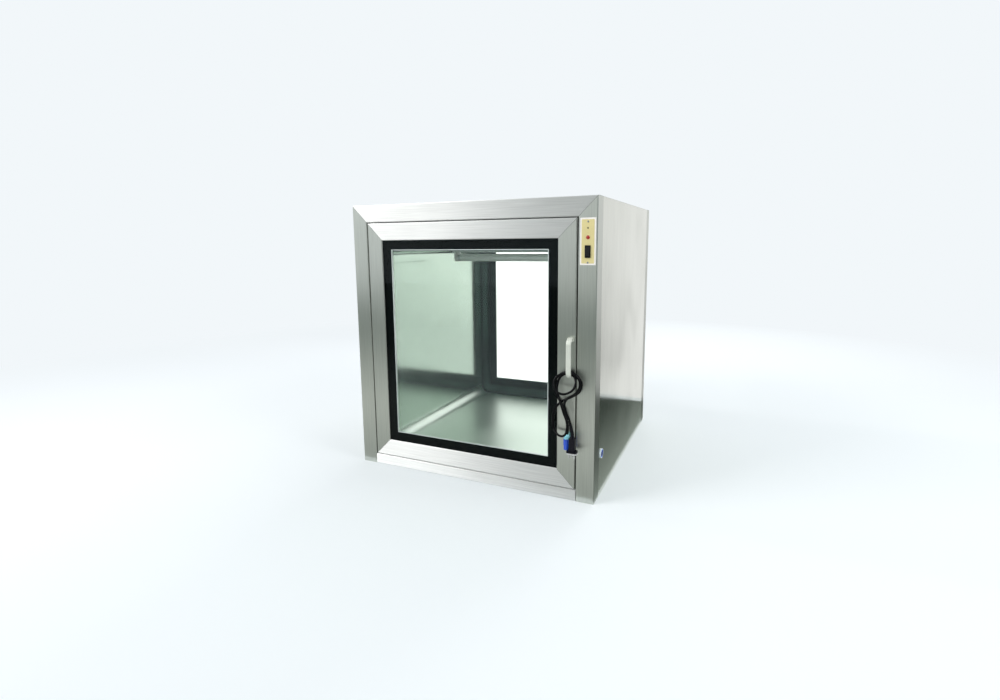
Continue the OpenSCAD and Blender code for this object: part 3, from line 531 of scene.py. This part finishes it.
def stuffMaterial(name, stuff, detail):
    material, tree, place = startMaterial(name)
    grain = noiseNode(tree, place, stuff["grain"], 3.0)
    rubbed = placeGroup(tree, wear, {
        "Place": place, "Size": detail["rubSize"], "Amount": stuff["wear"],
    })
    dark = opaque(stuff["colour"], 1 - stuff["speckle"])
    light = [min(1.0, part * detail["rubLight"] + detail["rubLift"]) for part in stuff["colour"]]
    colour = mixColour(tree, grain, dark, opaque(stuff["colour"]))
    share = mathNode(tree, "MULTIPLY", rubbed["Mask"], detail["rubShare"])
    colour = mixColour(tree, share, colour, opaque(light))
    shader = addNode(tree, "ShaderNodeBsdfPrincipled", {
        "Base Color": colour,
        "Roughness": addShare(tree, stuff["rough"], rubbed["Mask"], detail["rubRough"]),
        "Metallic": stuff["metal"],
        "Coat Weight": stuff["coat"], "Specular IOR Level": stuff["shine"],
        "Normal": bumpNormal(tree, grain, stuff["bump"]),
    })
    endMaterial(tree, shader)
    return material


# Pieces in two or three colours, banded by distance from an axis or by height

bandDetail = {
    "edge": 0.0002,  # width over which one colour turns into the next
    "rough": 0.08,  # the most that the grain adds to the roughness
}
# on: the stuff that it is made of; keep: 1 for each axis that the distance from the middle counts
bands = {
    "inletPlastic": {
        "on": "bluePlastic", "middle": (0, -0.305, 0.116), "keep": (0, 1, 1),
        # the darkest blue, in the middle, is painted shade inside the socket's opening
        "steps": [
            (0.0, (0.006, 0.02, 0.22)), (0.0082, (0.04, 0.16, 0.85)), (0.0108, (0.80, 0.88, 0.97)),
        ],
    },
    # painted highlight: the plug is light grey below a height of 0.1455 m, along the flange's lower
    # edge
    "plugRubberPaintedHighlight": {
        "on": "plugRubber", "middle": (0, 0, 0), "keep": (0, 0, 1),
        "steps": [(0.0, (0.50, 0.50, 0.49)), (0.1455, (0.004, 0.004, 0.009))],
    },
}


def bandedMaterial(name, values, detail):
    stuff = stuffs[values["on"]]
    material, tree, place = startMaterial(name)
    centred = vectorNode(tree, "SUBTRACT", place, values["middle"])
    far = vectorNode(tree, "LENGTH", vectorNode(tree, "MULTIPLY", centred, values["keep"]))
    grain = noiseNode(tree, place, stuff["grain"], 3.0)
    colour = opaque(values["steps"][0][1])
    for start, stepColour in values["steps"][1:]:
        past = rangeNode(tree, far, start, start + detail["edge"], 0.0, 1.0)
        colour = mixColour(tree, past, colour, opaque(stepColour))
    shader = addNode(tree, "ShaderNodeBsdfPrincipled", {
        "Base Color": colour,
        "Roughness": spreadNoise(tree, grain, stuff["rough"], stuff["rough"] + detail["rough"]),
        "Coat Weight": stuff["coat"], "Specular IOR Level": stuff["shine"],
        "Normal": bumpNormal(tree, grain, stuff["bump"]),
    })
    endMaterial(tree, shader)
    return material


finishes = {name: stuffMaterial(name, stuff, stuffDetail) for name, stuff in stuffs.items()}
for name, band in bands.items():
    finishes[name] = bandedMaterial(name, band, bandDetail)
for name in ("railSteel", "sideSteel", "coverSteel", "panSteelPaintedShade", "plateSteelPaintedShade"):
    finishes[name] = steelMaterial(name, steelFinishes[name], steelDetail)
for name in ("stileSteel", "railSteel"):
    for place, corner in (("Door", doorCorner), ("Frame", frameCorner)):
        full = name + place
        finishes[full] = steelMaterial(full, steelFinishes[name], steelDetail, corner)
finishes["chamberSteel"] = chamberMaterial(chamberFinish)
finishes["doorGlass"] = glassMaterial(glassFinish)
print("materials made:", len(finishes))

# Which node has which finish

doorFinishes = {
    "stiles": "stileSteelDoor", "rails": "railSteelDoor", "back_pan": "panSteelPaintedShade",
    "outer_pane": "doorGlass", "inner_pane": "doorGlass", "border": "borderPrint",
    "spacer": "spacerMetal", "gasket": "gasketRubber", "handle": "handleSteel",
    "armature": "armatureSteel", "bushes": "bushPlastic",
}
nodeFinishes = {
    "front_frame_top": "railSteelFrame", "rear_frame_top": "railSteelFrame",
    "front_frame_left": "stileSteelFrame", "front_frame_right": "stileSteelFrame",
    "rear_frame_stiles": "stileSteelFrame",
    "front_frame_bottom": "railSteel", "rear_frame_bottom": "railSteel",
    "front_landing_plate": "plateSteelPaintedShade", "rear_landing_plate": "plateSteelPaintedShade",
    "chamber_liner": "chamberSteel",
    "side_panel_left": "sideSteel", "side_panel_right": "sideSteel", "top_cover": "coverSteel",
    "cover_screws": "screwSteel", "base_panel": "panSteelPaintedShade", "floor_bearers": "zincSteel",
    "base_inserts": "zincSteel", "equipment_tray": "zincSteel",
    "power_supply": "supplyCase", "interlock_controller": "controllerCase",
    "lamp_channel": "whiteMetal", "lamp_holders": "whitePlastic", "lamp_tube": "opalGlass",
    "lamp_caps": "lampCap", "lock_magnets": "armatureSteel",
    "control_plate_border": "whiteBorder", "control_plate": "creamPlate",
    "plate_screws": "screwSteel", "red_indicator": "redLens", "small_indicator": "oliveLens",
    "rocker_housing": "switchPlastic", "rocker_button": "switchPlastic",
    "power_inlet": "inletPlastic", "hinge_pins": "screwSteel",
    "mains_plug": "plugRubberPaintedHighlight",
    "lead_connector": "bluePlastic", "lead_connector_collar": "collarPlastic",
}
for end in ("front", "rear"):
    for piece, finish in doorFinishes.items():
        nodeFinishes[end + "_door_" + piece] = finish


def dress(obj, finish):
    obj.data.materials.clear()
    obj.data.materials.append(finishes[finish])


for name, finish in nodeFinishes.items():
    dress(nodes[name], finish)
dress(lead, "cordRubber")
print("finishes given to", len(nodeFinishes), "nodes")

# Geometry node helpers


# Every tree ends with its instances made real and its one material set
def closeTree(tree, geometry, finish, out):
    whole = addNode(tree, "GeometryNodeRealizeInstances", {"Geometry": geometry}).outputs[0]
    done = addNode(tree, "GeometryNodeSetMaterial", {"Geometry": whole, "Material": finish})
    tree.links.new(done.outputs[0], out["Geometry"])
    return tree


def bakeTree(name, source, tree, values, body):
    modifier = source.modifiers.new("shape", "NODES")
    modifier.node_group = tree
    for item in tree.interface.items_tree:
        if item.in_out == "INPUT" and item.name in values:
            modifier[item.identifier] = values[item.name]
    bpy.context.view_layer.update()
    shaped = source.evaluated_get(bpy.context.evaluated_depsgraph_get())
    mesh = bpy.data.meshes.new_from_object(shaped)
    mesh.name = name
    source.modifiers.remove(modifier)
    bpy.data.objects.remove(source)
    piece = linkObject(name, mesh)
    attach(piece, body)
    return piece


# Ribbed sleeves where the lead enters its two ends

reliefs = {
    "plugRelief": {
        "end": "last", "length": 0.030, "ribs": 15,
        "wide": 0.0052, "narrow": 0.0036, "groove": 0.0005,
        "finish": "plugRubber", "slot": "plug_rubber",
    },
    "connectorRelief": {
        "end": "first", "length": 0.022, "ribs": 11,
        "wide": 0.0050, "narrow": 0.0036, "groove": 0.0005,
        "finish": "cordRubber", "slot": "cord_jacket",
    },
}
ribShape = {"sides": 28, "overlap": 1.02}  # each rib reaches a little into the next


def makeReliefTree(shape):
    tree, given, out = nodeTree("ribbedSleeve", "GeometryNodeTree", [
        ("Geometry", "INPUT", "Geometry", None),
        ("Ribs", "INPUT", "Int", 12),
        ("Length", "INPUT", "Float", 0.03),
        ("Wide", "INPUT", "Float", 0.005),
        ("Narrow", "INPUT", "Float", 0.0035),
        ("Groove", "INPUT", "Float", 0.0005),
        ("Finish", "INPUT", "Material", None),
        ("Geometry", "OUTPUT", "Geometry", None),
    ])
    line = addNode(tree, "GeometryNodeCurveToPoints", {
        "Curve": given["Geometry"], "Count": given["Ribs"],
    }, mode="COUNT")
    gaps = mathNode(tree, "SUBTRACT", given["Ribs"], 1.0)
    thick = mathNode(tree, "DIVIDE", given["Length"], gaps)
    disc = addNode(tree, "GeometryNodeMeshCylinder", {
        "Vertices": shape["sides"], "Radius": 1.0,
        "Depth": mathNode(tree, "MULTIPLY", thick, shape["overlap"]),
    })
    index = addNode(tree, "GeometryNodeInputIndex").outputs[0]
    share = mathNode(tree, "DIVIDE", index, gaps)
    taper = mathNode(tree, "SUBTRACT", given["Wide"], given["Narrow"])
    ridge = mathNode(tree, "SUBTRACT", given["Wide"], mathNode(tree, "MULTIPLY", share, taper))
    odd = mathNode(tree, "MODULO", index, 2.0)  # every second rib is a groove
    radius = mathNode(tree, "SUBTRACT", ridge, mathNode(tree, "MULTIPLY", odd, given["Groove"]))
    size = addNode(tree, "ShaderNodeCombineXYZ", {0: radius, 1: radius, 2: 1.0})
    discs = addNode(tree, "GeometryNodeInstanceOnPoints", {
        "Points": line.outputs["Points"], "Instance": disc.outputs["Mesh"],
        "Rotation": line.outputs["Rotation"], "Scale": size.outputs[0],
    })
    return closeTree(tree, discs.outputs[0], given["Finish"], out)


# The first stretch of a route, of this length
def cutRoute(places, length):
    kept = [places[0]]
    run = 0.0
    for a, b in zip(places, places[1:]):
        step = math.dist(a, b)
        if run + step >= length:
            share = (length - run) / step
            kept.append(tuple(p + (q - p) * share for p, q in zip(a, b)))
            return kept
        kept.append(b)
        run += step
    return kept


reliefTree = makeReliefTree(ribShape)
for name, relief in reliefs.items():
    places = leadPlaces if relief["end"] == "first" else leadPlaces[::-1]
    curve = polyCurve(name + "Line", cutRoute(places, relief["length"]))
    bakeTree(name, linkObject(curve.name, curve), reliefTree, {
        "Ribs": relief["ribs"], "Length": relief["length"],
        "Wide": relief["wide"], "Narrow": relief["narrow"], "Groove": relief["groove"],
        "Finish": finishes[relief["finish"]],
    }, "front_door")

# Contacts inside the inlet

inletContacts = {
    "axis": (-0.305, 0.116),  # Y and Z of the inlet's middle
    "from": 0.3622, "to": 0.3740,  # X of the pins' two ends
    "ring": 0.0042, "radius": 0.0011, "count": 3, "sides": 20,
}


def makeContactTree(sides):
    tree, given, out = nodeTree("contactRing", "GeometryNodeTree", [
        ("Geometry", "INPUT", "Geometry", None),
        ("Count", "INPUT", "Int", 3),
        ("Ring", "INPUT", "Float", 0.004),
        ("Radius", "INPUT", "Float", 0.001),
        ("Length", "INPUT", "Float", 0.01),
        ("Middle", "INPUT", "Vector", None),
        ("Finish", "INPUT", "Material", None),
        ("Geometry", "OUTPUT", "Geometry", None),
    ])
    ring = addNode(tree, "GeometryNodeMeshCircle", {
        "Vertices": given["Count"], "Radius": given["Ring"],
    })
    pin = addNode(tree, "GeometryNodeMeshCylinder", {
        "Vertices": sides, "Radius": given["Radius"], "Depth": given["Length"],
    })
    tip = addNode(tree, "GeometryNodeMeshUVSphere", {
        "Segments": sides, "Rings": sides // 2, "Radius": given["Radius"],
    })
    half = mathNode(tree, "MULTIPLY", given["Length"], 0.5)
    raised = addNode(tree, "GeometryNodeTransform", {
        "Geometry": tip.outputs["Mesh"],
        "Translation": addNode(tree, "ShaderNodeCombineXYZ", {2: half}).outputs[0],
    })
    both = addNode(tree, "GeometryNodeJoinGeometry")
    tree.links.new(pin.outputs["Mesh"], both.inputs[0])
    tree.links.new(raised.outputs[0], both.inputs[0])
    pins = addNode(tree, "GeometryNodeInstanceOnPoints", {
        "Points": ring.outputs["Mesh"], "Instance": both.outputs[0],
    })
    turned = addNode(tree, "GeometryNodeTransform", {
        "Geometry": pins.outputs[0],
        "Translation": given["Middle"], "Rotation": (0, math.pi / 2, 0),
    })
    return closeTree(tree, turned.outputs[0], given["Finish"], out)


def makeInletContacts(contacts):
    middle = ((contacts["from"] + contacts["to"]) / 2, *contacts["axis"])
    source = linkObject("contactSource", bpy.data.meshes.new("contactSource"))
    bakeTree("inletContactPins", source, makeContactTree(contacts["sides"]), {
        "Count": contacts["count"], "Ring": contacts["ring"], "Radius": contacts["radius"],
        "Length": contacts["to"] - contacts["from"], "Middle": middle,
        "Finish": finishes["contactBrass"],
    }, "cabinet")


makeInletContacts(inletContacts)
print("inlet contacts made")

# Studio

studio = {
    "background": (0.887, 0.930, 0.956),
    "ambient": 0.67,
    "floorColour": (0.90, 0.935, 0.955),
    "floorRough": 0.9,
    "floorSize": 30.0,  # from the origin to each edge
    "floorFade": (1.6, 3.2),  # distance from the origin where the floor turns into the background
}
softboxes = {
    "keyBox": {
        "place": (-2.7, -2.6, 2.8), "aim": (0, 0, 0.45),
        "size": 2.1, "power": 78, "colour": (1, 0.985, 0.98),
    },
    "sideBox": {
        "place": (3.2, -0.6, 2.6), "aim": (0.3, 0, 0.4),
        "size": 2.2, "power": 40, "colour": (0.97, 1, 0.98),
    },
    "backBox": {
        "place": (0.4, 3.4, 2.4), "aim": (0, 0, 0.4),
        "size": 2.4, "power": 46, "colour": (1, 1, 1),
    },
}
# boards that only reflections see, for the steel's contrast
# each shades along its axis, 0 for X, 1 for Y and 2 for Z
# near and far give a distance off its middle, and the colour there
boards = {
    "frontBoard": {
        "corners": [(-5, -7, 0.002), (5, -7, 0.002), (5, -0.4, 0.002), (-5, -0.4, 0.002)],
        "axis": 1, "middle": -0.98,
        "near": (0.0, (0.70, 0.73, 0.70)),
        "far": (1.1, (0.19, 0.225, 0.21)),
    },
    "sideBoard": {
        "corners": [(0.38, -0.4, 0.003), (3.0, -0.4, 0.003), (3.0, 0.6, 0.003), (0.38, 0.6, 0.003)],
        "axis": 0, "middle": 0.38,
        "near": (0.0, (0.28, 0.32, 0.29)),
        "far": (0.18, (0.024, 0.034, 0.027)),
    },
    "roomBoard": {
        "corners": [(0.45, -1.5, 0.0), (4.5, -2.6, 0.0), (4.5, -2.6, 1.9), (0.45, -1.5, 1.9)],
        "axis": 2, "middle": 0.0,
        "near": (0.0, (0.10, 0.13, 0.12)),
        "far": (1.9, (0.05, 0.07, 0.068)),
    },
    "wallBoard": {
        "corners": [(-0.9, -4.2, 0.0), (1.8, -4.2, 0.0), (1.8, -4.2, 3.4), (-0.9, -4.2, 3.4)],
        "axis": 0, "middle": -0.9,
        "near": (0.0, (0.90, 0.93, 0.90)),
        "far": (1.5, (0.44, 0.48, 0.46)),
    },
}
backdrop = {  # bright board behind the cabinet, seen through the windows and in the steel
    "corners": [(-3.5, 0.64, 0.004), (3.5, 0.64, 0.004), (3.5, 1.35, 0.004), (-3.5, 1.35, 0.004),
                (3.5, 1.35, 2.6), (-3.5, 1.35, 2.6)],
    "faces": [(0, 1, 2, 3), (3, 2, 4, 5)],
    "throughGlass": 1.6, "inSteel": 1.0,
    "shade": 0.44, "shadeFrom": 0.67, "shadeTo": 0.81,  # dims in steel from one X to the other
    "lowFrom": 0.7, "lowTo": 0.1,  # the whole of it below the second height
    "highShare": 0.3,  # and this share of it above the first
}


def flatPlane(name, corners, faces=((0, 1, 2, 3),)):
    mesh = bpy.data.meshes.new(name)
    mesh.from_pydata(corners, [], faces)
    return linkObject(name, mesh)


def makeFloor(values):
    size = values["floorSize"]
    corners = [(-size, -size, 0), (size, -size, 0), (size, size, 0), (-size, size, 0)]
    floor = flatPlane("studioFloor", corners)
    material, tree, place = startMaterial("studioFloor")
    fade = rangeNode(tree, vectorNode(tree, "LENGTH", place), *values["floorFade"], 0.0, 1.0)
    matt = addNode(tree, "ShaderNodeBsdfPrincipled", {
        "Base Color": opaque(values["floorColour"]), "Roughness": values["floorRough"],
    })
    glow = addNode(tree, "ShaderNodeEmission", {
        "Color": opaque(values["background"]), "Strength": 1.0,
    })
    endMaterial(tree, addNode(tree, "ShaderNodeMixShader", {
        0: fade, 1: matt.outputs[0], 2: glow.outputs[0],
    }))
    floor.data.materials.append(material)


def hideBoard(board, ways):
    for seen in ways:
        setattr(board, "visible_" + seen, False)


def makeBoard(name, values):
    board = flatPlane(name, values["corners"])
    material, tree, place = startMaterial(name)
    along = mathNode(tree, "SUBTRACT", axisParts(tree, place)[values["axis"]], values["middle"])
    (nearOff, nearColour), (farOff, farColour) = values["near"], values["far"]
    share = rangeNode(tree, mathNode(tree, "ABSOLUTE", along), nearOff, farOff, 0.0, 1.0)
    colour = mixColour(tree, share, opaque(nearColour), opaque(farColour))
    endMaterial(tree, addNode(tree, "ShaderNodeEmission", {"Color": colour, "Strength": 1.0}))
    board.data.materials.append(material)
    hideBoard(board, ("camera", "diffuse", "transmission", "shadow", "volume_scatter"))


def makeBackdrop(values):
    board = flatPlane("backdrop", values["corners"], values["faces"])
    material, tree, place = startMaterial("backdrop")
    rays = addNode(tree, "ShaderNodeLightPath").outputs
    x, _, z = axisParts(tree, place)
    aside = rangeNode(tree, x, values["shadeFrom"], values["shadeTo"], 0.0, values["shade"])
    low = rangeNode(tree, z, values["lowFrom"], values["lowTo"], values["highShare"], 1.0)
    shaded = mathNode(tree, "SUBTRACT", values["inSteel"], mathNode(tree, "MULTIPLY", aside, low))
    through = rays["Is Transmission Ray"]
    strength = rangeNode(tree, through, 0.0, 1.0, shaded, values["throughGlass"])
    endMaterial(tree, addNode(tree, "ShaderNodeEmission", {"Strength": strength}))
    board.data.materials.append(material)
    hideBoard(board, ("camera", "diffuse", "shadow", "volume_scatter"))


def makeSoftbox(name, values):
    light = bpy.data.lights.new(name, "AREA")
    light.shape = "SQUARE"
    light.size = values["size"]
    light.energy = values["power"]
    light.color = values["colour"]
    obj = linkObject(name, light)
    place = Vector(values["place"])
    turn = (Vector(values["aim"]) - place).to_track_quat("-Z", "Y")
    obj.matrix_world = Matrix.Translation(place) @ turn.to_matrix().to_4x4()


def makeWorld(values):
    world = bpy.data.worlds.new("studioWorld")
    bpy.context.scene.world = world
    world.use_nodes = True
    tree = world.node_tree
    tree.nodes.clear()
    rays = addNode(tree, "ShaderNodeLightPath").outputs
    seen = mathNode(tree, "MAXIMUM", rays["Is Camera Ray"],
                    mathNode(tree, "MAXIMUM", rays["Is Glossy Ray"], rays["Is Transmission Ray"]))
    strength = rangeNode(tree, seen, 0.0, 1.0, values["ambient"], 1.0)
    light = addNode(tree, "ShaderNodeBackground", {
        "Color": opaque(values["background"]), "Strength": strength,
    })
    addNode(tree, "ShaderNodeOutputWorld", {"Surface": light.outputs[0]})


bpy.context.scene.view_settings.view_transform = "Standard"
makeWorld(studio)
makeFloor(studio)
for name, values in softboxes.items():
    makeSoftbox(name, values)
for name, values in boards.items():
    makeBoard(name, values)
makeBackdrop(backdrop)
print("studio set")
